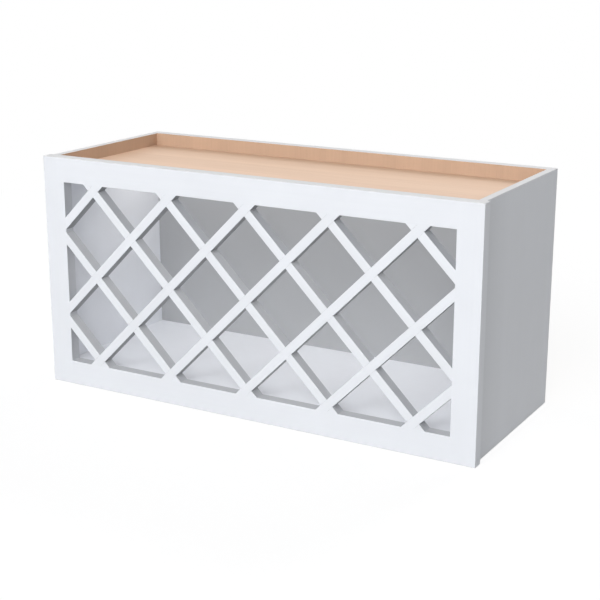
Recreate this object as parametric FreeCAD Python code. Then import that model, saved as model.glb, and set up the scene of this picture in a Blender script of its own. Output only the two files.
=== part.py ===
import FreeCAD, Part
import math
import os

os.makedirs("parts", exist_ok=True)

# Wall wine rack: an open cabinet whose face frame holds a lattice for bottles.
# Sizes are in millimetres. X runs to the right seen from the front, Y into the wall and Z up.
# The origin lies on the wall, at the middle of the cabinet's lower edge.

# Overall size
cabinet_width = 762.0
cabinet_height = 381.0
cabinet_depth = 304.8

# Face frame
frame_thickness = 19.0
stile_width = 40.0
rail_width = 40.0
frame_overhang = 5.5
edge_radius = 0.8

# Lattice of slats at 45 degrees, with the pitch measured square to them
slat_width = 14.0
slat_pitch = 100.0
shortest_slat = 40.0
tenon_length = 5.0
tenon_thickness = 4.0
tenon_shoulder = 4.0

# Case
side_thickness = 12.0
panel_thickness = 12.0
panel_inset = 21.0
back_thickness = 6.0
hanging_rail_thickness = 12.0
hanging_rail_height = 90.0
housing_depth = 5.0

# Wall screw holes, on the usual distance between studs
wall_hole_radius = 2.5
wall_hole_spacing = 406.4

# Dowels in the corners of the face frame
dowel_radius = 4.0
dowel_length = 30.0
dowel_spacing = 16.0
dowel_chamfer = 1.0
dowel_end_gap = 1.0

# Pocket screws from the top and bottom panels into the rails
pocket_angle = 15.0
pocket_radius = 4.0
pocket_screw_count = 3
pocket_screw_inset = 120.0
pocket_screw_length = 18.0
pocket_screw_grip = 8.0
pocket_shank_radius = 1.75
pocket_head_radius = 3.5
pocket_head_height = 2.0

# Countersunk screws from the hanging rails into the top and bottom panels
rail_screw_count = 4
rail_screw_inset = 60.0
rail_screw_length = 45.0
rail_shank_radius = 2.0
rail_head_radius = 4.0
rail_head_height = 2.6

# Tip and cross recess of every screw
screw_tip_length = 5.0
recess_width = 1.0
recess_length = 4.4
recess_depth = 1.5

# Brads through the side panels, driven flush
brad_count = 4
brad_inset = 30.0
brad_radius = 0.8
brad_length = 32.0
brad_head_radius = 1.4
brad_head_height = 1.2
rail_brad_inset = 20.0

# Clearances, and how far a cut runs past the surface that it opens
joint_clearance = 0.1
hole_clearance = 0.05
tip_gap = 1.0
cut_overrun = 5.0

# Planes that the pieces share
half_width = cabinet_width / 2
half_height = cabinet_height / 2
frame_front = -cabinet_depth
frame_rear = frame_front + frame_thickness
frame_middle = frame_front + frame_thickness / 2
housing_front = frame_rear - housing_depth
side_outer = half_width - frame_overhang
side_inner = side_outer - side_thickness
back_rear = -hanging_rail_thickness
back_front = back_rear - back_thickness
opening_half_width = half_width - stile_width
opening_half_height = half_height - rail_width
top_panel_top = cabinet_height - panel_inset
top_panel_bottom = top_panel_top - panel_thickness
top_panel_middle = top_panel_top - panel_thickness / 2
hanging_rail_bottom = cabinet_height - hanging_rail_height
lattice_step = slat_pitch * math.sqrt(2)
slat_half_foot = slat_width / math.sqrt(2)

ORIGIN = FreeCAD.Vector(0, 0, 0)
X_AXIS = FreeCAD.Vector(1, 0, 0)
Y_AXIS = FreeCAD.Vector(0, 1, 0)
Z_AXIS = FreeCAD.Vector(0, 0, 1)


def block(x_range, y_range, z_range):
    """A box between two values on each axis."""
    size = [high - low for low, high in (x_range, y_range, z_range)]
    corner = FreeCAD.Vector(x_range[0], y_range[0], z_range[0])
    return Part.makeBox(size[0], size[1], size[2], corner)


def flip_x(shape):
    """The same shape on the other side of the cabinet."""
    return shape.mirror(ORIGIN, X_AXIS)


def flip_z(shape):
    """The same shape at the other end of the cabinet's height."""
    return shape.mirror(FreeCAD.Vector(0, 0, half_height), Z_AXIS)


def both_ends(shapes):
    """Shapes of the upper half, repeated in the lower half."""
    return list(shapes) + [flip_z(shape) for shape in shapes]


def four_ways(shapes):
    """Shapes of the upper right quarter, repeated in all four quarters."""
    right = both_ends(shapes)
    return right + [flip_x(shape) for shape in right]


def spread(low, high, count):
    """Evenly spaced values from low to high."""
    return [low + (high - low) * step / (count - 1) for step in range(count)]


def placed(shape, start, direction):
    """A shape made along +Z from the origin, turned to start at a point and run in a direction."""
    shape.Placement = FreeCAD.Placement(start, FreeCAD.Rotation(Z_AXIS, direction))
    return shape


def turned(profile):
    """A solid turned about Z from points of radius and height."""
    points = [FreeCAD.Vector(radius, 0, height) for radius, height in profile]
    face = Part.Face(Part.makePolygon(points + points[:1]))
    return face.revolve(ORIGIN, Z_AXIS, 360)


def rounding(start, end, inward_one, inward_two):
    """A bar along an edge that leaves it round when cut away, given both directions into the wood."""
    one = inward_one * edge_radius
    two = inward_two * edge_radius
    crown = (one + two) * (1 - math.sqrt(0.5))
    arc = Part.Arc(start + one, start + crown, start + two).toShape()
    corners = [two, two - one, -one - two, one - two, one]
    outside = Part.makePolygon([start + corner for corner in corners])
    return Part.Face(Part.Wire([arc] + outside.Edges)).extrude(end - start)


def clear_runs(low, high, middles, half):
    """Stretches from low to high that are free of crossings with the given middles and half width."""
    runs = []
    start = low
    for middle in sorted(middles):
        if middle - half > start:
            runs.append((start, middle - half))
        start = max(start, middle + half)
    if high > start:
        runs.append((start, high))
    return runs


def one_solid(shape):
    """The single clean solid that a cut or a joint leaves."""
    solids = shape.removeSplitter().Solids
    if len(solids) != 1:
        raise ValueError(f"expected one solid and found {len(solids)}")
    return solids[0]


# Lattice: the slats cross at right angles, halved into each other, with stub tenons in the frame.
# A rising slat climbs to the right and keeps its front half where two cross. A falling one keeps its rear.

RISING = 1
FALLING = -1
opening = block(
    (-opening_half_width, opening_half_width),
    (frame_front, frame_rear),
    (rail_width, cabinet_height - rail_width),
)


def slat_ends(slope, index):
    """Where a slat's centre line meets the frame: X, Z and the direction outwards, lower end first."""
    middle = index * lattice_step
    ends = []
    for upward in (-1, 1):
        sideways = slope * upward
        to_rail = opening_half_height
        to_stile = opening_half_width - sideways * middle
        run = min(to_rail, to_stile)
        outward = (0, upward) if to_rail < to_stile else (sideways, 0)
        ends.append((middle + sideways * run, half_height + upward * run, outward))
    return ends


def slat_indexes(slope):
    """The slats of one slope that are long enough to be made, from left to right."""
    reach = math.ceil((opening_half_width + opening_half_height) / lattice_step)
    indexes = []
    for index in range(-reach, reach + 1):
        low, high = slat_ends(slope, index)
        if (high[1] - low[1]) * math.sqrt(2) >= shortest_slat:
            indexes.append(index)
    return indexes


def ends_into(outward):
    """Slat ends that enter one member of the frame, each with its slat's slope."""
    found = []
    for slope in (RISING, FALLING):
        for index in slat_indexes(slope):
            found += [(slope, end) for end in slat_ends(slope, index) if end[2] == outward]
    return found


def tenon(end, slope, root, grow):
    """The stub on a slat's end, which starts inside it by root. Its mortise is the same, grown."""
    x, z, outward = end
    half = slat_half_foot - tenon_shoulder + grow
    spans = []
    for place, way in ((x, outward[0]), (z, outward[1])):
        if way == 0:
            spans.append((place - half, place + half))
        else:
            edges = (place - way * root, place + way * (tenon_length + grow))
            spans.append((min(edges), max(edges)))
    near = frame_middle - slope * joint_clearance
    far = near - slope * tenon_thickness
    depth = (min(near, far) - grow, max(near, far) + grow)
    return block(spans[0], depth, spans[1])


def lap(slope, index, other):
    """The half of a slat's thickness that is cut away for the slat that crosses it."""
    x = (index + other) * lattice_step / 2
    z = half_height + slope * (other - index) * lattice_step / 2
    half = slat_width / 2 + joint_clearance
    middle = frame_middle - slope * joint_clearance / 2
    if slope == RISING:
        depth = (middle, frame_rear + cut_overrun)
    else:
        depth = (frame_front - cut_overrun, middle)
    cut = block((-slat_width, slat_width), depth, (-half, half))
    cut.rotate(ORIGIN, Y_AXIS, 45 * slope)
    cut.translate(FreeCAD.Vector(x, 0, z))
    return cut


def slat(slope, index):
    """One slat, cut to the opening, with its tenons and laps."""
    reach = opening_half_width + opening_half_height
    half = slat_width / 2
    bar = block((-reach, reach), (frame_front, frame_rear), (-half, half))
    crossings = [(other - index) * slat_pitch for other in slat_indexes(-slope)]
    rounded = []
    for low, high in clear_runs(-reach, reach, crossings, half):
        for y, inward_y in ((frame_front, Y_AXIS), (frame_rear, -Y_AXIS)):
            for z, inward_z in ((-half, Z_AXIS), (half, -Z_AXIS)):
                start = FreeCAD.Vector(low, y, z)
                rounded.append(rounding(start, FreeCAD.Vector(high, y, z), inward_y, inward_z))
    bar = bar.cut(rounded)
    bar.rotate(ORIGIN, Y_AXIS, -45 * slope)
    bar.translate(FreeCAD.Vector(index * lattice_step, 0, half_height))
    root = tenon_shoulder / 2
    tenons = [tenon(end, slope, root, 0) for end in slat_ends(slope, index)]
    laps = [lap(slope, index, other) for other in slat_indexes(-slope)]
    return one_solid(bar.common(opening).fuse(tenons).cut(laps))


def mortises(outward):
    """Housings for the tenons that enter one member of the frame."""
    return [tenon(end, slope, cut_overrun, joint_clearance) for slope, end in ends_into(outward)]


# Case panels: each is a plain block, and the housing for its edge is the same block, grown.


def top_panel_block(grow):
    """The top panel, or the space that its edges take in the sides and the frame."""
    reach = side_inner + housing_depth + grow
    return block(
        (-reach, reach),
        (housing_front - grow, back_front),
        (top_panel_bottom - grow, top_panel_top + grow),
    )


def side_block(grow, overrun):
    """The right side panel, or the groove for its front edge, which runs out at both ends."""
    return block(
        (side_inner - grow, side_outer + grow),
        (housing_front - grow, 0),
        (-overrun, cabinet_height + overrun),
    )


def back_block(grow, overrun):
    """The back panel, or the grooves for it in the sides, which run out at both ends."""
    reach = side_inner + housing_depth + grow
    return block(
        (-reach, reach),
        (back_front - grow, back_rear + grow),
        (-overrun, cabinet_height + overrun),
    )


# Fasteners


def dowels():
    """Two dowels in each corner of the frame, midway in the wood in front of the grooves."""
    inner = dowel_radius - dowel_chamfer
    profile = [
        (0, 0),
        (inner, 0),
        (dowel_radius, dowel_chamfer),
        (dowel_radius, dowel_length - dowel_chamfer),
        (inner, dowel_length),
        (0, dowel_length),
    ]
    return four_ways([placed(turned(profile), start, X_AXIS) for start in dowel_starts(dowel_length)])


def dowel_holes():
    """Holes for the dowels, half in the rails and half in the stiles."""
    length = dowel_length + 2 * dowel_end_gap
    radius = dowel_radius + hole_clearance
    return four_ways([Part.makeCylinder(radius, length, start, X_AXIS) for start in dowel_starts(length)])


def dowel_starts(length):
    """Inner ends of the upper right corner's dowels, or of their holes."""
    line = frame_front + (frame_thickness - housing_depth) / 2
    rail_middle = cabinet_height - rail_width / 2
    heights = spread(rail_middle - dowel_spacing / 2, rail_middle + dowel_spacing / 2, 2)
    return [FreeCAD.Vector(opening_half_width - length / 2, line, z) for z in heights]


def cross_recess(top):
    """The cross that a driver turns, cut down into a screw's head from the height of its top."""
    half = recess_length / 2
    thin = recess_width / 2
    depth = (top - cut_overrun, top + recess_depth)
    return block((-half, half), (-thin, thin), depth).fuse(block((-thin, thin), (-half, half), depth))


def pocket_axes():
    """Head seats of the top panel's pocket screws, and the direction in which they are driven."""
    angle = math.radians(pocket_angle)
    direction = FreeCAD.Vector(0, -math.cos(angle), -math.sin(angle))
    reach = opening_half_width - pocket_screw_inset
    seats = []
    for x in spread(-reach, reach, pocket_screw_count):
        edge = FreeCAD.Vector(x, housing_front, top_panel_middle)
        seats.append(edge - direction * pocket_screw_grip)
    return seats, direction


def pocket_screws():
    """Flat-headed screws in the pockets of the top panel."""
    profile = [
        (0, -pocket_head_height),
        (pocket_head_radius, -pocket_head_height),
        (pocket_head_radius, 0),
        (pocket_shank_radius, 0),
        (pocket_shank_radius, pocket_screw_length - screw_tip_length),
        (0, pocket_screw_length),
    ]
    screw = one_solid(turned(profile).cut(cross_recess(-pocket_head_height)))
    seats, direction = pocket_axes()
    return [placed(screw.copy(), seat, direction) for seat in seats]


def pocket_holes():
    """The pockets in the top panel, with the holes for the screws' shanks."""
    seats, direction = pocket_axes()
    way_out = panel_thickness / math.sin(math.radians(pocket_angle))
    shank_radius = pocket_shank_radius + hole_clearance
    holes = []
    for seat in seats:
        holes.append(Part.makeCylinder(pocket_radius, way_out, seat, -direction))
        holes.append(Part.makeCylinder(shank_radius, pocket_screw_length + tip_gap, seat, direction))
    return holes


def rail_screw_profile(grow, end_gap):
    """Half outline of a countersunk screw, or of the hole that it fits."""
    shank = rail_shank_radius + grow
    end = rail_screw_length + end_gap
    return [
        (0, 0),
        (rail_head_radius + grow, 0),
        (shank, rail_head_height),
        (shank, end - screw_tip_length),
        (0, end),
    ]


def at_rail_screws(shape):
    """A shape at each screw of the upper hanging rail, in the middle of the top panel's thickness."""
    reach = side_inner - rail_screw_inset
    copies = []
    for x in spread(-reach, reach, rail_screw_count):
        copies.append(placed(shape.copy(), FreeCAD.Vector(x, 0, top_panel_middle), -Y_AXIS))
    return copies


def rail_screws():
    """Countersunk screws through the upper hanging rail and the back into the top panel."""
    return at_rail_screws(one_solid(turned(rail_screw_profile(0, 0)).cut(cross_recess(0))))


def rail_screw_holes():
    """Countersunk holes for the upper hanging rail's screws."""
    return at_rail_screws(turned(rail_screw_profile(hole_clearance, tip_gap)))


def brads(grow, end_gap):
    """Brads through the sides into the panels and hanging rails, or the holes that they leave."""
    profile = [
        (0, 0),
        (brad_head_radius + grow, 0),
        (brad_head_radius + grow, brad_head_height),
        (brad_radius + grow, brad_head_height),
        (brad_radius + grow, brad_length + end_gap),
        (0, brad_length + end_gap),
    ]
    heads = []
    for y in spread(housing_front + brad_inset, back_front - brad_inset, brad_count):
        heads.append(FreeCAD.Vector(side_outer, y, top_panel_middle))
    for z in spread(hanging_rail_bottom + rail_brad_inset, cabinet_height - rail_brad_inset, 2):
        heads.append(FreeCAD.Vector(side_outer, -hanging_rail_thickness / 2, z))
    return four_ways([placed(turned(profile), head, -X_AXIS) for head in heads])


def wall_holes():
    """Wall screw holes through back and upper hanging rail, midway between its edge and the top panel."""
    z = (hanging_rail_bottom + top_panel_bottom) / 2
    y = back_front - cut_overrun
    length = cut_overrun - y
    holes = []
    for x in spread(-wall_hole_spacing / 2, wall_hole_spacing / 2, 2):
        holes.append(Part.makeCylinder(wall_hole_radius, length, FreeCAD.Vector(x, y, z), Y_AXIS))
    return holes


# Cuts that several pieces share

frame_dowel_holes = dowel_holes()
brad_holes = brads(hole_clearance, tip_gap)
panel_housings = both_ends([top_panel_block(joint_clearance)])
side_housing = side_block(joint_clearance, cut_overrun)
back_housing = back_block(joint_clearance, cut_overrun)


# Pieces that have a mirrored twin, made once


def plain_stile():
    """Right upright of the face frame, grooved behind for the side and the panels."""
    inner = opening_half_width
    stile = block((inner, half_width), (frame_front, frame_rear), (0, cabinet_height))
    slat_heights = [end[1] for slope, end in ends_into((1, 0))]
    runs = clear_runs(rail_width, cabinet_height - rail_width, slat_heights, slat_half_foot)
    rounded = []
    for y, inward in ((frame_front, Y_AXIS), (frame_rear, -Y_AXIS)):
        foot = FreeCAD.Vector(half_width, y, 0)
        head = FreeCAD.Vector(half_width, y, cabinet_height)
        rounded.append(rounding(foot, head, -X_AXIS, inward))
        for low, high in runs:
            start = FreeCAD.Vector(inner, y, low)
            rounded.append(rounding(start, FreeCAD.Vector(inner, y, high), X_AXIS, inward))
    for z, inward in ((0, Z_AXIS), (cabinet_height, -Z_AXIS)):
        start = FreeCAD.Vector(inner, frame_front, z)
        rounded.append(rounding(start, FreeCAD.Vector(half_width, frame_front, z), Y_AXIS, inward))
    return one_solid(stile.cut(rounded + panel_housings + [side_housing] + frame_dowel_holes))


def plain_rail():
    """Upper cross member of the face frame, grooved behind for the top panel."""
    reach = opening_half_width
    low = cabinet_height - rail_width
    rail = block((-reach, reach), (frame_front, frame_rear), (low, cabinet_height))
    slat_places = [end[0] for slope, end in ends_into((0, 1))]
    upper_left = FreeCAD.Vector(-reach, frame_front, cabinet_height)
    upper_right = FreeCAD.Vector(reach, frame_front, cabinet_height)
    rounded = [rounding(upper_left, upper_right, Y_AXIS, -Z_AXIS)]
    for left, right in clear_runs(-reach, reach, slat_places, slat_half_foot):
        for y, inward in ((frame_front, Y_AXIS), (frame_rear, -Y_AXIS)):
            start = FreeCAD.Vector(left, y, low)
            rounded.append(rounding(start, FreeCAD.Vector(right, y, low), inward, Z_AXIS))
    return one_solid(rail.cut(rounded + panel_housings + frame_dowel_holes + pocket_holes()))


def side_panel():
    """Right plywood side, housed for the top and bottom panels and grooved for the back."""
    foot = FreeCAD.Vector(side_outer, 0, 0)
    head = FreeCAD.Vector(side_outer, 0, cabinet_height)
    rounded = [rounding(foot, head, -X_AXIS, -Y_AXIS)]
    for z, inward in ((0, Z_AXIS), (cabinet_height, -Z_AXIS)):
        for x, sideways, end in ((side_outer, -X_AXIS, 0), (side_inner, X_AXIS, back_front)):
            start = FreeCAD.Vector(x, frame_rear, z)
            rounded.append(rounding(start, FreeCAD.Vector(x, end, z), sideways, inward))
    return one_solid(side_block(0, 0).cut(rounded + panel_housings + [back_housing] + brad_holes))


def case_panel():
    """Plywood top, with pockets for the screws that hold the face frame."""
    holes = pocket_holes() + rail_screw_holes() + brad_holes
    return one_solid(top_panel_block(0).cut(holes))


def plain_hanging_rail():
    """Upper hanging rail between the sides, behind the back panel, before its wall screw holes."""
    rail = block((-side_inner, side_inner), (back_rear, 0), (hanging_rail_bottom, cabinet_height))
    return one_solid(rail.cut(rail_screw_holes() + brad_holes))


stile = plain_stile()
rail = plain_rail()
side = side_panel()
panel = case_panel()
hanging_rail = plain_hanging_rail()
back = one_solid(back_block(0, 0).cut(both_ends(rail_screw_holes()) + wall_holes()))

pieces = {
    "left_stile": one_solid(flip_x(stile).cut(mortises((-1, 0)))),
    "right_stile": one_solid(stile.cut(mortises((1, 0)))),
    "top_rail": one_solid(rail.cut(mortises((0, 1)))),
    "bottom_rail": one_solid(flip_z(rail).cut(mortises((0, -1)))),
    "left_side_panel": flip_x(side),
    "right_side_panel": side,
    "top_panel": panel,
    "bottom_panel": flip_z(panel),
    "back_panel": back,
    "upper_hanging_rail": one_solid(hanging_rail.cut(wall_holes())),
    "lower_hanging_rail": flip_z(hanging_rail),
    "frame_dowels": Part.makeCompound(dowels()),
    "frame_pocket_screws": Part.makeCompound(both_ends(pocket_screws())),
    "hanging_rail_screws": Part.makeCompound(both_ends(rail_screws())),
    "case_brads": Part.makeCompound(brads(0, 0)),
}
for slope, name in ((RISING, "rising_slat"), (FALLING, "falling_slat")):
    for number, index in enumerate(slat_indexes(slope), start=1):
        pieces[f"{name}_{number}"] = slat(slope, index)

for name, shape in pieces.items():
    if not shape.isValid():
        raise ValueError(f"{name} is not a valid shape")
    shape.exportStep(f"parts/{name}.step")
    print(name, len(shape.Solids), round(shape.Volume))
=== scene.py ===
import math

import bpy
from bpy.props import FloatProperty, FloatVectorProperty, PointerProperty
from bpy.types import Operator, Panel, PropertyGroup
from mathutils import Matrix, Vector


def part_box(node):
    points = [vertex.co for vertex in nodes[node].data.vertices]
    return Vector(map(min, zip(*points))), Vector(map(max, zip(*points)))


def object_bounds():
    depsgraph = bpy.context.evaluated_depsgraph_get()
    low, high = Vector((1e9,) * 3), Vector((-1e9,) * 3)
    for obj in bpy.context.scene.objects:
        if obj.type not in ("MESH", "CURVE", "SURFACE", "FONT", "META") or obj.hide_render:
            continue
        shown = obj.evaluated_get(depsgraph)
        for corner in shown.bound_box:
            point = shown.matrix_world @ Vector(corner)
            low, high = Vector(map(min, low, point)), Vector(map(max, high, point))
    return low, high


bl_info = {
    "name": "Wall wine rack finishes",
    "version": (1, 0, 0),
    "blender": (4, 5, 0),
    "location": "3D View > Sidebar > Wine Rack",
    "description": "Finishes, light and camera for a wall wine rack with a lattice front",
    "category": "Object",
}

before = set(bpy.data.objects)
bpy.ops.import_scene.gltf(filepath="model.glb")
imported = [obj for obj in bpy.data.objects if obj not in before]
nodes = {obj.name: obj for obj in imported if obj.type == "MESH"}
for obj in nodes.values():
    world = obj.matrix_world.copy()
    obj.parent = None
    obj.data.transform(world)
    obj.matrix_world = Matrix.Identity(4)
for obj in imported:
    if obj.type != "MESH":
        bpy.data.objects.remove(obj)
cad_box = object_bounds()

RISING_SLATS = sorted(name for name in nodes if name.startswith("rising_slat_"))
FALLING_SLATS = sorted(name for name in nodes if name.startswith("falling_slat_"))
TOP_PANEL_MIDDLE = sum(corner.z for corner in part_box("top_panel")) / 2
BOTTOM_PANEL_MIDDLE = sum(corner.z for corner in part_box("bottom_panel")) / 2
BACK_MIDDLE = sum(corner.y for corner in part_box("back_panel")) / 2
FRAME_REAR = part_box("right_stile")[1].y
RACK_FOOT = cad_box[0].z
RACK_TOP = cad_box[1].z

# How near a face lies to the plane that it belongs to
TOUCHING = 0.0001

# Depth to which a rounded edge reaches, with some to spare
ROUNDED = 0.001

# Share of a face's normal along an axis where the face is square to it, and where it starts to round over
SQUARE_ON = 0.9
ROUNDING_OVER = 0.2

# Faces of a slat that look further forward than this have the front's paint, and its edges behind them
# have painted shade
SLAT_FRONT = -0.3

# How far the grain turns from left-right, in radians about each axis
GRAIN_ACROSS = (0.0, 0.0, 0.0)
GRAIN_UPRIGHT = (0.0, math.radians(90), 0.0)
GRAIN_RISING = (0.0, math.radians(45), 0.0)
GRAIN_FALLING = (0.0, math.radians(-45), 0.0)

# How far behind the face frame the sides are painted darker, as the painted shadow of its overhang
OVERHANG_SHADE_REACH = 0.09

# Share of an edge's normal upwards or downwards from which it has the upper or under edge's painted shade
TILTED = 0.5

# How much glossier paint is where its sprayed skin is smooth, and how much flatter where it is rough
SMOOTH_SKIN = 0.05
ROUGH_SKIN = 0.07

# Range in which most of a noise's values lie
MOST_NOISE = (0.3, 0.7)

# How far in from the rear and ends of the top panel it is painted darker, as painted shade beside the
# walls round it, and how strongly
REAR_SHADE_REACH = 0.075
ENDS_SHADE_REACH = 0.060
REAR_SHADE_STRENGTH = 0.72
ENDS_SHADE_STRENGTH = 0.35

# Brightness of the figure in the darker maple beside its pale wood, and of the sides beside the back
DARKER_FIGURE = 0.82
DARKER_SIDES = 1.03

# How far a ply's edge wanders to each side
PLY_WANDER = 0.0002

# Gap between the rack and the floor, and the floor's brightness where no shadow falls
FLOOR_GAP = 0.0005
FLOOR_GLOW = 1.04

# Distances from the rack's origin between which the floor's shadow fades out
SHADOW_FADE = (0.7, 1.8)

# Each lamp round the rack: degrees round to the right of the front, degrees up, and width in metres
LAMPS = {
    "front_left": (-20.0, 34.0, 6.5),
    "front_right": (14.0, 26.5, 6.5),
    "left": (-100.0, 20.0, 3.0),
    "right": (100.0, 15.0, 3.0),
    "rear": (172.0, 38.0, 3.0),
    "underneath": (0.0, -90.0, 3.0),
}

# Place from front to rear, width and depth of the inside lamp as shares of the top panel it hangs under
INSIDE_LAMP_PLACE = 0.72
INSIDE_LAMP_WIDTH = 0.97
INSIDE_LAMP_DEPTH = 0.46

# How far the inside lamp hangs below the panel
INSIDE_LAMP_DROP = 0.002

WHITE = (1.0, 1.0, 1.0)
SKY_COLOUR = (0.975, 0.99, 1.0)
LAMP_COLOUR = (0.985, 0.993, 1.0)
INSIDE_LAMP_COLOUR = (1.0, 0.965, 0.92)

# Width of the camera's sensor in millimetres
SENSOR_WIDTH = 36.0

# Sockets of Blender's mix node when it mixes colours
MIX_FACTOR = 0
MIX_FIRST = 6
MIX_SECOND = 7
MIX_RESULT = 2


class RackFinishes(PropertyGroup):
    """Colours and sheen of the rack's finishes."""

    paint: FloatVectorProperty(
        name="Paint",
        description="Satin paint on the face frame, lattice and case",
        subtype="COLOR",
        default=(0.877, 0.895, 0.936),
        min=0.0,
        max=1.0,
    )
    # Painted shade: the back panel inside the case is painted a darker grey where shade falls
    shaded_lining: FloatVectorProperty(
        name="Lining",
        description="Paint on the back panel inside the case",
        subtype="COLOR",
        default=(0.435, 0.442, 0.455),
        min=0.0,
        max=1.0,
    )
    # Painted shade: the upper and lower end faces are painted darker than the paint
    banding_shade: FloatVectorProperty(
        name="Banding",
        description="Paint on the upper and lower edges of the case and face frame",
        subtype="COLOR",
        default=(0.765, 0.758, 0.765),
        min=0.0,
        max=1.0,
    )
    # Painted shade on sawn edges: shares of the paint's brightness by which way an edge faces
    upper_edge_shade: FloatProperty(
        name="Upper edge",
        description="Share of the paint's brightness on sawn edges that look up",
        subtype="FACTOR",
        default=0.61,
        min=0.0,
        max=1.0,
    )
    upright_edge_shade: FloatProperty(
        name="Upright edge",
        description="Share of the paint's brightness on sawn edges that stand upright",
        subtype="FACTOR",
        default=0.74,
        min=0.0,
        max=1.0,
    )
    under_edge_shade: FloatProperty(
        name="Under edge",
        description="Share of the paint's brightness on sawn edges that look down",
        subtype="FACTOR",
        default=0.43,
        min=0.0,
        max=1.0,
    )
    # Painted shadow of the face frame's overhang on the sides: share of the paint's brightness just behind
    # it
    overhang_shade: FloatProperty(
        name="Shadowed",
        description="Share of the paint's brightness on the sides just behind the face frame's overhang",
        subtype="FACTOR",
        default=0.90,
        min=0.0,
        max=1.0,
    )
    maple: FloatVectorProperty(
        name="Maple",
        description="Pale wood of the maple veneer",
        subtype="COLOR",
        default=(0.90, 0.645, 0.475),
        min=0.0,
        max=1.0,
    )
    maple_figure: FloatVectorProperty(
        name="Maple figure",
        description="Darker wood in the maple's grain",
        subtype="COLOR",
        default=(0.717, 0.484, 0.336),
        min=0.0,
        max=1.0,
    )
    darker_maple: FloatVectorProperty(
        name="Warmer maple",
        description="Pale wood of the warmer maple on the sides and back above the top panel",
        subtype="COLOR",
        default=(0.575, 0.39, 0.273),
        min=0.0,
        max=1.0,
    )
    beech: FloatVectorProperty(
        name="Beech",
        description="Bare wood of the dowels",
        subtype="COLOR",
        default=(0.68, 0.46, 0.29),
        min=0.0,
        max=1.0,
    )
    zinc: FloatVectorProperty(
        name="Zinc",
        description="Bright zinc plate on the screws and brads",
        subtype="COLOR",
        default=(0.52, 0.53, 0.53),
        min=0.0,
        max=1.0,
    )
    paint_roughness: FloatProperty(
        name="Paint roughness",
        description="From a glossy paint to a flat one",
        subtype="FACTOR",
        default=0.46,
        min=0.05,
        max=1.0,
    )
    ply: FloatProperty(
        name="Ply",
        description="Thickness of one ply in the edges of the plywood",
        unit="LENGTH",
        subtype="DISTANCE",
        default=0.0015,
        min=0.0005,
        max=0.005,
    )


class RackStudio(PropertyGroup):
    """Camera and light of the studio."""

    camera_place: FloatVectorProperty(
        name="Camera place",
        description="Where the camera stands",
        subtype="TRANSLATION",
        unit="LENGTH",
        default=(1.0235, -1.9208, 0.7363),
    )
    camera_azimuth: FloatProperty(
        name="Camera azimuth",
        description="How far the camera stands round to the right of the front",
        subtype="ANGLE",
        default=math.radians(29.851),
    )
    camera_elevation: FloatProperty(
        name="Camera elevation",
        description="How far the camera looks down",
        subtype="ANGLE",
        default=math.radians(15.861),
    )
    camera_roll: FloatProperty(
        name="Camera roll",
        description="How far the camera leans to its left",
        subtype="ANGLE",
        default=math.radians(0.025),
    )
    lens: FloatProperty(
        name="Lens",
        description="Focal length on a 36 mm sensor",
        unit="CAMERA",
        default=78.91,
        min=10.0,
        max=300.0,
    )
    sky: FloatProperty(
        name="Sky",
        description="Strength of the even light from all round",
        default=0.15,
        min=0.0,
        max=2.0,
    )
    front_left: FloatProperty(
        name="Front left",
        description="Power of the large soft lamp in front on the left",
        unit="POWER",
        default=178.0,
        min=0.0,
        max=1000.0,
    )
    front_right: FloatProperty(
        name="Front right",
        description="Power of the large soft lamp in front on the right",
        unit="POWER",
        default=466.0,
        min=0.0,
        max=1000.0,
    )
    left: FloatProperty(
        name="Left",
        description="Power of the soft lamp on the left",
        unit="POWER",
        default=125.0,
        min=0.0,
        max=1000.0,
    )
    right: FloatProperty(
        name="Right",
        description="Power of the soft lamp on the right",
        unit="POWER",
        default=28.0,
        min=0.0,
        max=1000.0,
    )
    rear: FloatProperty(
        name="Rear",
        description="Power of the soft lamp behind",
        unit="POWER",
        default=236.0,
        min=0.0,
        max=1000.0,
    )
    inside: FloatProperty(
        name="Inside",
        description="Power of the lamp under the top panel",
        unit="POWER",
        default=0.408,
        min=0.0,
        max=10.0,
    )
    underneath: FloatProperty(
        name="Underneath",
        description="Power of the soft lamp below, which shines up on the rack through the floor",
        unit="POWER",
        default=150.0,
        min=0.0,
        max=1000.0,
    )
    lamp_distance: FloatProperty(
        name="Lamp distance",
        description="How far the lamps round the rack stand from its middle",
        unit="LENGTH",
        subtype="DISTANCE",
        default=8.0,
        min=1.0,
        max=20.0,
    )
    floor_bounce: FloatProperty(
        name="Floor bounce",
        description="Share of the light that the floor throws back up",
        subtype="FACTOR",
        default=0.30,
        min=0.0,
        max=1.0,
    )
    floor_shadow: FloatProperty(
        name="Floor shadow",
        description="How deep the rack's shadow on the floor is",
        subtype="FACTOR",
        default=0.20,
        min=0.0,
        max=1.0,
    )
    floor_width: FloatProperty(
        name="Floor width",
        description="Side of the square floor",
        unit="LENGTH",
        subtype="DISTANCE",
        default=30.0,
        min=2.0,
        max=100.0,
    )


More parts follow.
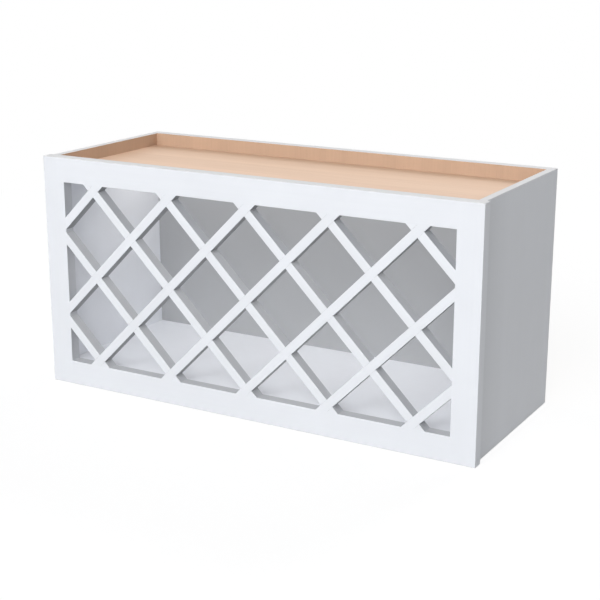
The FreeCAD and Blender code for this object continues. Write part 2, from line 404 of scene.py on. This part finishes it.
class Wiring:
    """Nodes in the making. Each call adds what it names and gives back its output."""

    def __init__(self, tree):
        self.tree = tree
        self.tree.nodes.clear()

    def add(self, kind, output=0, inputs=(), **settings):
        """One node with its settings, and its inputs given as pairs of socket and value or output."""
        node = self.tree.nodes.new(kind)
        for setting, value in settings.items():
            setattr(node, setting, value)
        for socket, value in inputs:
            self.feed(node.inputs[socket], value)
        return node.outputs[output]

    def feed(self, socket, value):
        """Links an output to a socket, or sets the socket's own value."""
        if isinstance(value, bpy.types.NodeSocket):
            self.tree.links.new(value, socket)
        else:
            socket.default_value = value

    def maths(self, operation, first, second=0.0):
        """Simple arithmetic on two values."""
        return self.add("ShaderNodeMath", 0, [(0, first), (1, second)], operation=operation)

    def mix_shaders(self, factor, first, second):
        """Two shaders mixed."""
        return self.add("ShaderNodeMixShader", inputs=[(0, factor), (1, first), (2, second)])

    def looking(self):
        """One for rays from the camera, mirrors and glass, and nought for rays that only carry light."""
        seen = self.add("ShaderNodeLightPath", "Is Camera Ray")
        for ray in ("Is Glossy Ray", "Is Transmission Ray"):
            seen = self.maths("MAXIMUM", seen, self.add("ShaderNodeLightPath", ray))
        return seen

    def end(self, kind, shader):
        """Shows a shader through an output of this kind."""
        output = self.tree.nodes.new(kind)
        self.tree.links.new(shader, output.inputs["Surface"])


class Finish(Wiring):
    """A material in the making."""

    def __init__(self, name):
        self.material = bpy.data.materials.new(name)
        self.material.use_nodes = True
        super().__init__(self.material.node_tree)

    def place(self, turn=GRAIN_ACROSS, stretch=(1.0, 1.0, 1.0)):
        """Place on the rack in metres, turned so that the grain runs along X, then stretched."""
        where = self.add("ShaderNodeTexCoord", "Object")
        turned = self.add("ShaderNodeMapping", inputs=[("Vector", where), ("Rotation", turn)])
        return self.add("ShaderNodeMapping", inputs=[("Vector", turned), ("Scale", stretch)])

    def along(self, axis, vector):
        """How far a place or a normal reaches along one axis."""
        return self.add("ShaderNodeSeparateXYZ", axis, [("Vector", vector)])

    def noise(self, vector, scale, detail=2.0, roughness=0.5, distortion=0.0):
        """Soft random spots, with scale to the metre."""
        inputs = [("Vector", vector), ("Scale", scale), ("Detail", detail)]
        inputs += [("Roughness", roughness), ("Distortion", distortion)]
        return self.add("ShaderNodeTexNoise", "Fac", inputs)

    def streaks(self, turn, along, across, **kind):
        """Random streaks that follow the grain, with scales to the metre along it and across it."""
        return self.noise(self.place(turn, (along, across, across)), scale=1.0, **kind)

    def spread(self, value, given, wanted=(0.0, 1.0)):
        """One range of values turned into another."""
        inputs = [("Value", value), ("From Min", given[0]), ("From Max", given[1])]
        inputs += [("To Min", wanted[0]), ("To Max", wanted[1])]
        return self.add("ShaderNodeMapRange", "Result", inputs)

    def weigh(self, first, first_share, second, second_share):
        """The sum of two values, each taken at its share."""
        first = self.maths("MULTIPLY", first, first_share)
        return self.maths("ADD", first, self.maths("MULTIPLY", second, second_share))

    def mix(self, factor, first, second):
        """Two colours mixed."""
        inputs = [(MIX_FACTOR, factor), (MIX_FIRST, first), (MIX_SECOND, second)]
        return self.add("ShaderNodeMix", MIX_RESULT, inputs, data_type="RGBA")

    def tones(self, factor, colour, low, high):
        """One colour whose brightness goes from one share of its own to another as the factor rises."""
        return self.mix(factor, shade(colour, low), shade(colour, high))

    def relief(self, height, depth, below=None):
        """Fine relief on the surface, up to a depth in metres, over any relief below it."""
        inputs = [("Height", height), ("Strength", 1.0), ("Distance", depth)]
        if below is not None:
            inputs.append(("Normal", below))
        return self.add("ShaderNodeBump", 0, inputs)

    def surface(self, **sockets):
        """The finished material, from values or outputs for the shader's own sockets."""
        inputs = [(socket.replace("_", " ").title(), value) for socket, value in sockets.items()]
        return self.done(self.add("ShaderNodeBsdfPrincipled", inputs=inputs))

    def done(self, shader):
        """The finished material, with this shader as its surface."""
        self.end("ShaderNodeOutputMaterial", shader)
        return self.material


def shade(colour, amount=1.0):
    """A colour made darker or lighter, ready for a colour socket."""
    return tuple(min(1.0, part * amount) for part in colour) + (1.0,)


def satin_paint(name, finishes, turn, sawn=False, overhang_shade=False):
    """White satin paint with a sprayed skin over the grain, with painted shade on sawn edges by which way
    they face, and the painted shadow of the face frame's overhang on the sides just behind it.
    """
    make = Finish(name)
    level = make.place(turn)
    drift = make.noise(level, scale=9.0, detail=3.0)
    skin = make.noise(level, scale=1100.0)
    grain = make.streaks(turn, along=5.0, across=260.0, detail=4.0, roughness=0.6)
    cover = make.spread(make.weigh(drift, 0.7, grain, 0.3), MOST_NOISE)

    def coat(share=1.0):
        return make.tones(cover, finishes.paint, low=0.975 * share, high=1.02 * share)

    # Painted shade: sawn edges get darker from upper to upright to under edges
    if sawn:
        up = make.along("Z", make.add("ShaderNodeNewGeometry", "Normal"))
        colour = coat(finishes.under_edge_shade)
        colour = make.mix(make.spread(up, (-TILTED, 0.0)), colour, coat(finishes.upright_edge_shade))
        colour = make.mix(make.spread(up, (0.0, TILTED)), colour, coat(finishes.upper_edge_shade))
    # Painted shadow: the sides are darker just behind the face frame's overhang
    elif overhang_shade:
        depth = make.along("Y", make.place())
        past_overhang_shade = make.spread(depth, (FRAME_REAR, FRAME_REAR + OVERHANG_SHADE_REACH))
        colour = make.mix(past_overhang_shade, coat(finishes.overhang_shade), coat())
    else:
        colour = coat()
    sheen = (finishes.paint_roughness - SMOOTH_SKIN, finishes.paint_roughness + ROUGH_SKIN)
    roughness = make.spread(make.maths("ADD", skin, drift), (0.6, 1.4), sheen)
    relief = make.relief(skin, depth=0.00003, below=make.relief(grain, depth=0.00005))
    return make.surface(base_color=colour, roughness=roughness, normal=relief)


def edge_banding_shade(name, finishes):
    """Flatter paint on the upper and lower edges, painted darker than the rest as painted shade on these
    end faces.
    """
    make = Finish(name)
    level = make.place()
    drift = make.noise(level, scale=14.0, detail=3.0)
    rub = make.noise(level, scale=240.0, detail=4.0, roughness=0.65)
    cover = make.spread(make.weigh(drift, 0.6, rub, 0.4), MOST_NOISE)
    # Painted shade: darker than the paint on these end faces
    colour = make.tones(cover, finishes.banding_shade, low=0.97, high=1.03)
    roughness = make.spread(rub, MOST_NOISE, (0.58, 0.70))
    return make.surface(base_color=colour, roughness=roughness, normal=make.relief(rub, depth=0.00004))


def maple_figure(make, pale, dark, turn):
    """Colour, roughness and relief of clear sealed maple veneer."""
    bands = make.streaks(turn, along=1.1, across=16.0, detail=3.0, distortion=0.6)
    fibres = make.streaks(turn, along=9.0, across=520.0, detail=4.0, roughness=0.65)
    flecks = make.streaks(turn, along=90.0, across=1400.0, detail=1.0)
    figure = make.spread(make.weigh(bands, 0.75, fibres, 0.45), (0.42, 0.86), (0.0, 0.85))
    streak = make.maths("ADD", figure, make.spread(flecks, (0.66, 0.74), (0.0, 0.35)))
    roughness = make.spread(fibres, MOST_NOISE, (0.44, 0.58))
    return make.mix(streak, pale, dark), roughness, make.relief(fibres, depth=0.00006)


def darker_figure(make, finishes, turn, darker_share):
    """The darker maple veneer, with its brightness as a share of the darker maple's."""
    pale = shade(finishes.darker_maple, darker_share)
    return maple_figure(make, pale, shade(finishes.darker_maple, DARKER_FIGURE * darker_share), turn)


def maple_veneer(name, finishes, turn, darker_share=None, shaded_in=None):
    """Sealed maple veneer, in the darker maple where asked, painted darker at a box's rear and ends as
    painted shade beside its walls.
    """
    make = Finish(name)
    if darker_share:
        colour, roughness, relief = darker_figure(make, finishes, turn, darker_share)
    else:
        pale = shade(finishes.maple)
        colour, roughness, relief = maple_figure(make, pale, shade(finishes.maple_figure), turn)
    # Painted shade: darker towards the rear and ends of the top panel, beside the walls round it
    if shaded_in:
        corner = shaded_in[1]
        spot = make.place()
        aside = make.maths("ABSOLUTE", make.along("X", spot))
        rear_reach = (corner.y - REAR_SHADE_REACH, corner.y)
        ends_reach = (corner.x - ENDS_SHADE_REACH, corner.x)
        rear = make.spread(make.along("Y", spot), rear_reach, (0.0, REAR_SHADE_STRENGTH))
        ends = make.spread(aside, ends_reach, (0.0, ENDS_SHADE_STRENGTH))
        colour = make.mix(make.maths("MAXIMUM", rear, ends), colour, shade(finishes.darker_maple))
    return make.surface(base_color=colour, roughness=roughness, normal=relief)


def lined_maple(name, finishes, turn):
    """Maple veneer above the top panel, grey paint inside as painted shade, and white paint below the
    bottom panel.
    """
    make = Finish(name)
    maple, roughness, relief = darker_figure(make, finishes, turn, darker_share=1.0)
    level = make.place()
    drift = make.noise(level, scale=9.0, detail=3.0)
    white = make.tones(drift, finishes.paint, low=0.97, high=1.02)
    # Painted shade: the grey paint stands in for the shade inside the case
    shaded_lining = make.tones(drift, finishes.shaded_lining, low=0.97, high=1.02)
    up = make.along("Z", level)
    paint = make.mix(make.maths("GREATER_THAN", up, BOTTOM_PANEL_MIDDLE), white, shaded_lining)
    colour = make.mix(make.maths("GREATER_THAN", up, TOP_PANEL_MIDDLE), paint, maple)
    return make.surface(base_color=colour, roughness=roughness, normal=relief)


def ply_edge(name, finishes, through):
    """Sawn plywood edge: pale plies and end-grain plies in turn, through one axis of the rack."""
    make = Finish(name)
    level = make.place()
    wander = make.spread(make.noise(level, scale=60.0), (0.0, 1.0), (-PLY_WANDER, PLY_WANDER))
    depth = make.maths("ADD", make.along(through, level), wander)
    pair = make.maths("FRACT", make.maths("DIVIDE", depth, 2.0 * finishes.ply))
    end_grain = make.maths("GREATER_THAN", pair, 0.5)
    pores = make.noise(level, scale=2200.0, detail=3.0, roughness=0.7)
    shadow = make.spread(pores, (0.35, 0.75), (0.0, 0.5))
    pale = make.mix(shadow, shade(finishes.maple, 0.92), shade(finishes.maple_figure, 0.85))
    dark = make.tones(shadow, finishes.maple_figure, low=0.80, high=0.52)
    colour = make.mix(end_grain, pale, dark)
    roughness = make.spread(pores, MOST_NOISE, (0.6, 0.8))
    relief = make.relief(make.weigh(pores, 1.0, end_grain, -0.5), depth=0.00012)
    return make.surface(base_color=colour, roughness=roughness, normal=relief)


def bare_beech(name, finishes):
    """Bare beech with short dark flecks along the dowel."""
    make = Finish(name)
    fibres = make.streaks(GRAIN_ACROSS, along=12.0, across=700.0, detail=4.0, roughness=0.6)
    flecks = make.streaks(GRAIN_ACROSS, along=160.0, across=1500.0, detail=1.0)
    streak = make.maths("ADD", fibres, make.spread(flecks, (0.62, 0.7), (-0.3, 0.3)))
    colour = make.tones(streak, finishes.beech, low=1.08, high=0.72)
    roughness = make.spread(fibres, MOST_NOISE, (0.55, 0.72))
    return make.surface(base_color=colour, roughness=roughness, normal=make.relief(fibres, depth=0.0001))


def bright_zinc(name, finishes):
    """Bright zinc plate with faint bloom and fine tool marks."""
    make = Finish(name)
    level = make.place()
    bloom = make.noise(level, scale=420.0, detail=3.0, roughness=0.6)
    marks = make.noise(level, scale=5200.0, roughness=0.6)
    colour = make.tones(bloom, finishes.zinc, low=0.86, high=1.1)
    roughness = make.spread(bloom, MOST_NOISE, (0.24, 0.42))
    relief = make.relief(marks, depth=0.00001)
    return make.surface(base_color=colour, metallic=1.0, roughness=roughness, normal=relief)


def dress(name, materials, choose=None):
    """Gives a CAD piece its materials, with a function that names one for each face in the piece's box."""
    piece = nodes[name]
    low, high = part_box(name)
    order = list(materials)
    piece.data.materials.clear()
    for material in materials.values():
        piece.data.materials.append(material)
    for face in piece.data.polygons:
        face.material_index = order.index(choose(face, low, high)) if choose else 0


def near(value, target):
    """True where two places along an axis touch."""
    return abs(value - target) < TOUCHING


def on_end(face):
    """True on the rack's upper and lower edges and where they round over."""
    height = face.center.z
    at_end = height < RACK_FOOT + ROUNDED or height > RACK_TOP - ROUNDED
    return at_end and abs(face.normal.z) > ROUNDING_OVER


def stile_finish(face, low, high):
    """A stile has painted shade on its inner edge, and darker painted shade on its end faces."""
    if near(abs(face.center.x), min(abs(low.x), abs(high.x))):
        return "inner edge"
    return "banding_shade" if on_end(face) else "paint"


def rail_finish(face, low, high):
    """A rail has painted shade on its inner edge, and darker painted shade on its outer one."""
    if near(face.center.z, low.z if near(high.z, RACK_TOP) else high.z):
        return "inner edge"
    return "banding_shade" if on_end(face) else "paint"


def slat_finish(face, low, high):
    """A slat has painted shade on its edges between its front and its rear."""
    return "edge" if SLAT_FRONT < face.normal.y < SQUARE_ON else "paint"


def side_finish(face, low, high):
    """A side is bare inside above the top panel and behind the back, and its hidden edges show plies."""
    inner, outer = sorted((abs(low.x), abs(high.x)))
    aside = abs(face.center.x)
    if near(aside, inner) and face.normal.x * math.copysign(1.0, low.x) < -SQUARE_ON:
        bare = face.center.z > TOP_PANEL_MIDDLE or face.center.y > BACK_MIDDLE
        return "maple" if bare else "paint"
    # Its end faces have darker painted shade
    if on_end(face):
        return "banding_shade"
    # The outer face has the painted shadow of the face frame's overhang
    return "outside" if aside > outer - ROUNDED else "plies"


def panel_finish(face, low, high):
    """A panel has an upper and a lower face, and its hidden edges show plies."""
    if near(face.center.z, high.z) and face.normal.z > SQUARE_ON:
        return "upper"
    if near(face.center.z, low.z) and face.normal.z < -SQUARE_ON:
        return "lower"
    return "plies"


def back_finish(face, low, high):
    """The back and its rails have a front and a rear, darker painted shade on top, and plies on their
    other edges.
    """
    if near(face.center.z, RACK_TOP):
        return "banding_shade"
    if abs(face.normal.y) < SQUARE_ON:
        return "plies"
    return "front" if face.normal.y < 0.0 else "rear"


def brad_finish(face, low, high):
    """A brad has paint over its head."""
    return "paint" if near(abs(face.center.x), max(abs(low.x), abs(high.x))) else "zinc"


class FinishFaceFrame(Operator):
    """Paints the stiles and rails of the face frame"""

    bl_idname = "wine_rack.finish_face_frame"
    bl_label = "Face frame"

    def execute(self, context):
        finishes = context.scene.rack_finishes
        banding_shade = edge_banding_shade("banding_face_frame", finishes)
        for names, lie, turn, choose in (
            (("left_stile", "right_stile"), "upright", GRAIN_UPRIGHT, stile_finish),
            (("top_rail", "bottom_rail"), "level", GRAIN_ACROSS, rail_finish),
        ):
            paint = satin_paint(f"paint_{lie}", finishes, turn)
            edge = satin_paint(f"paint_{lie}_edge", finishes, turn, sawn=True)
            for name in names:
                dress(name, {"paint": paint, "inner edge": edge, "banding_shade": banding_shade}, choose)
        return {"FINISHED"}


class FinishLattice(Operator):
    """Paints the slats of the lattice, with the grain along each slat"""

    bl_idname = "wine_rack.finish_lattice"
    bl_label = "Lattice"

    def execute(self, context):
        finishes = context.scene.rack_finishes
        for names, slope, turn in (
            (RISING_SLATS, "rising", GRAIN_RISING),
            (FALLING_SLATS, "falling", GRAIN_FALLING),
        ):
            paint = satin_paint(f"paint_{slope}", finishes, turn)
            edge = satin_paint(f"paint_{slope}_edge", finishes, turn, sawn=True)
            for name in names:
                dress(name, {"paint": paint, "edge": edge}, slat_finish)
        return {"FINISHED"}


class FinishSidePanels(Operator):
    """Paints the sides, and leaves bare maple inside above the top panel and plies on hidden edges"""

    bl_idname = "wine_rack.finish_side_panels"
    bl_label = "Side panels"

    def execute(self, context):
        finishes = context.scene.rack_finishes
        materials = {
            "paint": satin_paint("paint_sides", finishes, GRAIN_UPRIGHT),
            "maple": maple_veneer("maple_sides", finishes, GRAIN_UPRIGHT, darker_share=DARKER_SIDES),
            "plies": ply_edge("plies_sides", finishes, "X"),
            "banding_shade": edge_banding_shade("banding_sides", finishes),
            "outside": satin_paint("paint_sides_outside", finishes, GRAIN_UPRIGHT, overhang_shade=True),
        }
        for name in ("left_side_panel", "right_side_panel"):
            dress(name, materials, side_finish)
        return {"FINISHED"}


class FinishPanels(Operator):
    """Seals the top panel's maple, and paints the inside of the case"""

    bl_idname = "wine_rack.finish_panels"
    bl_label = "Top and bottom panels"

    def execute(self, context):
        finishes = context.scene.rack_finishes
        paint = satin_paint("paint_panels", finishes, GRAIN_ACROSS)
        maple = maple_veneer("maple_top_panel", finishes, GRAIN_ACROSS, shaded_in=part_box("top_panel"))
        plies = ply_edge("plies_panels", finishes, "Z")
        for name, upper in (("top_panel", maple), ("bottom_panel", paint)):
            dress(name, {"lower": paint, "upper": upper, "plies": plies}, panel_finish)
        return {"FINISHED"}


class FinishBack(Operator):
    """Paints the back panel inside the case, and leaves it bare maple above the top panel and behind"""

    bl_idname = "wine_rack.finish_back"
    bl_label = "Back and hanging rails"

    def execute(self, context):
        finishes = context.scene.rack_finishes
        # The back inside the case has grey painted shade
        shaded_lining = lined_maple("lined_back", finishes, GRAIN_UPRIGHT)
        maple = maple_veneer("maple_back", finishes, GRAIN_UPRIGHT)
        rail_maple = maple_veneer("maple_hanging_rails", finishes, GRAIN_ACROSS)
        plies = ply_edge("plies_back", finishes, "Y")
        banding_shade = edge_banding_shade("banding_back", finishes)
        for name, front, rear in (
            ("back_panel", shaded_lining, maple),
            ("upper_hanging_rail", rail_maple, rail_maple),
            ("lower_hanging_rail", rail_maple, rail_maple),
        ):
            materials = {"front": front, "rear": rear, "plies": plies, "banding_shade": banding_shade}
            dress(name, materials, back_finish)
        return {"FINISHED"}


class FinishDowels(Operator):
    """Leaves the frame's dowels in bare beech"""

    bl_idname = "wine_rack.finish_dowels"
    bl_label = "Dowels"

    def execute(self, context):
        dress("frame_dowels", {"beech": bare_beech("beech_dowels", context.scene.rack_finishes)})
        return {"FINISHED"}


class FinishFasteners(Operator):
    """Plates the screws and brads, and paints over the heads of the brads"""

    bl_idname = "wine_rack.finish_fasteners"
    bl_label = "Screws and brads"

    def execute(self, context):
        finishes = context.scene.rack_finishes
        zinc = bright_zinc("zinc_fasteners", finishes)
        paint = satin_paint("paint_brad_heads", finishes, GRAIN_UPRIGHT)
        for name in ("frame_pocket_screws", "hanging_rail_screws"):
            dress(name, {"zinc": zinc})
        dress("case_brads", {"zinc": zinc, "paint": paint}, brad_finish)
        return {"FINISHED"}


class BuildStudio(Operator):
    """Makes the floor, the light and the camera"""

    bl_idname = "wine_rack.build_studio"
    bl_label = "Studio"

    def execute(self, context):
        studio = context.scene.rack_studio
        context.scene.view_settings.view_transform = "Standard"
        make_sky(context.scene, studio)
        make_floor(context.scene, studio)
        make_lamps(context.scene, studio)
        make_camera(context.scene, studio)
        return {"FINISHED"}


def make_sky(scene, studio):
    """Even light from all round, which looks white."""
    world = bpy.data.worlds.new("studio_sky")
    scene.world = world
    world.use_nodes = True
    make = Wiring(world.node_tree)
    light = make.add("ShaderNodeBackground", 0, [("Color", shade(SKY_COLOUR)), ("Strength", studio.sky)])
    white = make.add("ShaderNodeBackground", 0, [("Color", shade(WHITE)), ("Strength", 1.0)])
    make.end("ShaderNodeOutputWorld", make.mix_shaders(make.looking(), light, white))


def floor_finish(studio):
    """Looks white, keeps the rack's shadow and lets the lamp below shine up through it on the rack."""
    make = Finish("studio_floor")
    spot = make.place()
    bounce = studio.floor_bounce
    mottle = make.noise(spot, scale=3.0, detail=3.0)
    tint = make.tones(mottle, WHITE, low=0.98 * bounce, high=1.02 * bounce)
    lit = make.add("ShaderNodeBsdfDiffuse", inputs=[("Color", tint)])
    faint = make.add("ShaderNodeBsdfDiffuse", inputs=[("Color", shade(WHITE, studio.floor_shadow))])
    glow_colour = shade(WHITE, FLOOR_GLOW - studio.floor_shadow)
    glow = make.add("ShaderNodeEmission", inputs=[("Color", glow_colour)])
    shadowed = make.add("ShaderNodeAddShader", inputs=[(0, faint), (1, glow)])
    plain = make.add("ShaderNodeEmission", inputs=[("Color", shade(WHITE))])
    away = make.add("ShaderNodeVectorMath", "Value", [(0, spot)], operation="LENGTH")
    seen = make.mix_shaders(make.spread(away, SHADOW_FADE), shadowed, plain)
    look = make.looking()
    solid = make.mix_shaders(look, lit, seen)
    under_rack = make.maths("SUBTRACT", 1.0, look)
    for axis, low, high in zip("XY", cad_box[0].xy, cad_box[1].xy):
        aside = make.maths("SUBTRACT", make.along(axis, spot), (low + high) / 2)
        within = make.maths("LESS_THAN", make.maths("ABSOLUTE", aside), (high - low) / 2)
        under_rack = make.maths("MULTIPLY", under_rack, within)
    from_below = make.add("ShaderNodeNewGeometry", "Backfacing")
    open_to = make.maths("MAXIMUM", under_rack, from_below)
    clear = make.add("ShaderNodeBsdfTransparent")
    return make.done(make.mix_shaders(open_to, solid, clear))


def make_floor(scene, studio):
    """A pale square floor just below the rack."""
    half = studio.floor_width / 2
    level = cad_box[0].z - FLOOR_GAP
    corners = [(-half, -half, level), (half, -half, level), (half, half, level), (-half, half, level)]
    mesh = bpy.data.meshes.new("studio_floor")
    mesh.from_pydata(corners, [], [(0, 1, 2, 3)])
    floor = bpy.data.objects.new("studio_floor", mesh)
    scene.collection.objects.link(floor)
    mesh.materials.append(floor_finish(studio))


def make_lamps(scene, studio):
    """Soft lamps round the rack and below it, and a flat one under the rear of its top panel."""
    middle = (cad_box[0] + cad_box[1]) / 2
    for name, (round_by, up_by, width) in LAMPS.items():
        way = outward(math.radians(round_by), math.radians(up_by))
        place = middle + way * studio.lamp_distance
        lamp = soft_lamp(scene, f"{name}_lamp", getattr(studio, name), place, -way)
        lamp.shape = "DISK"
        lamp.size = width
    low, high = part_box("top_panel")
    size = high - low
    rearward = low.y + size.y * INSIDE_LAMP_PLACE
    place = Vector(((low.x + high.x) / 2, rearward, low.z - INSIDE_LAMP_DROP))
    lamp = soft_lamp(scene, "inside_lamp", studio.inside, place, Vector((0.0, 0.0, -1.0)))
    lamp.shape = "RECTANGLE"
    lamp.size = size.x * INSIDE_LAMP_WIDTH
    lamp.size_y = size.y * INSIDE_LAMP_DEPTH
    lamp.color = INSIDE_LAMP_COLOUR


def outward(round_by, up_by):
    """The way out from the rack, from angles round to the right of the front and up."""
    level = math.cos(up_by)
    return Vector((math.sin(round_by) * level, -math.cos(round_by) * level, math.sin(up_by)))


def soft_lamp(scene, name, power, place, way):
    """One lamp at a place, which shines one way and isn't seen by the camera."""
    data = bpy.data.lights.new(name, "AREA")
    data.energy = power
    data.color = LAMP_COLOUR
    lamp = bpy.data.objects.new(name, data)
    lamp.location = place
    lamp.rotation_euler = way.to_track_quat("-Z", "Y").to_euler()
    lamp.visible_camera = False
    scene.collection.objects.link(lamp)
    return data


def make_camera(scene, studio):
    """The camera, from its place, its turn round the rack and its lean."""
    round_by = studio.camera_azimuth
    back = outward(round_by, studio.camera_elevation)
    level = Vector((math.cos(round_by), math.sin(round_by), 0.0))
    lean = Matrix.Rotation(studio.camera_roll, 3, back)
    right = lean @ level
    up = back.cross(right)
    data = bpy.data.cameras.new("studio_camera")
    data.lens = studio.lens
    data.sensor_width = SENSOR_WIDTH
    camera = bpy.data.objects.new("studio_camera", data)
    turn = Matrix((right, up, back)).transposed()
    camera.matrix_world = Matrix.Translation(studio.camera_place) @ turn.to_4x4()
    scene.collection.objects.link(camera)
    scene.camera = camera


class WineRackPanel(Panel):
    """Lists the rack's finishes and the studio"""

    bl_idname = "VIEW3D_PT_wine_rack"
    bl_label = "Wine Rack"
    bl_space_type = "VIEW_3D"
    bl_region_type = "UI"
    bl_category = "Wine Rack"

    def draw(self, context):
        for group in (context.scene.rack_finishes, context.scene.rack_studio):
            for name in group.__annotations__:
                self.layout.prop(group, name)
        for step in STEPS:
            self.layout.operator(step.bl_idname)


STEPS = (
    FinishFaceFrame,
    FinishLattice,
    FinishSidePanels,
    FinishPanels,
    FinishBack,
    FinishDowels,
    FinishFasteners,
    BuildStudio,
)
CLASSES = (RackFinishes, RackStudio) + STEPS + (WineRackPanel,)


def register():
    """Makes the rack's settings, operators and panel known to Blender."""
    for part in CLASSES:
        bpy.utils.register_class(part)
    bpy.types.Scene.rack_finishes = PointerProperty(type=RackFinishes)
    bpy.types.Scene.rack_studio = PointerProperty(type=RackStudio)


def unregister():
    """Takes them away again."""
    del bpy.types.Scene.rack_studio
    del bpy.types.Scene.rack_finishes
    for part in reversed(CLASSES):
        bpy.utils.unregister_class(part)


def main():
    """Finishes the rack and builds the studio."""
    register()
    bpy.ops.wine_rack.finish_face_frame()
    bpy.ops.wine_rack.finish_lattice()
    bpy.ops.wine_rack.finish_side_panels()
    bpy.ops.wine_rack.finish_panels()
    bpy.ops.wine_rack.finish_back()
    bpy.ops.wine_rack.finish_dowels()
    bpy.ops.wine_rack.finish_fasteners()
    bpy.ops.wine_rack.build_studio()


if __name__ == "__main__":
    main()
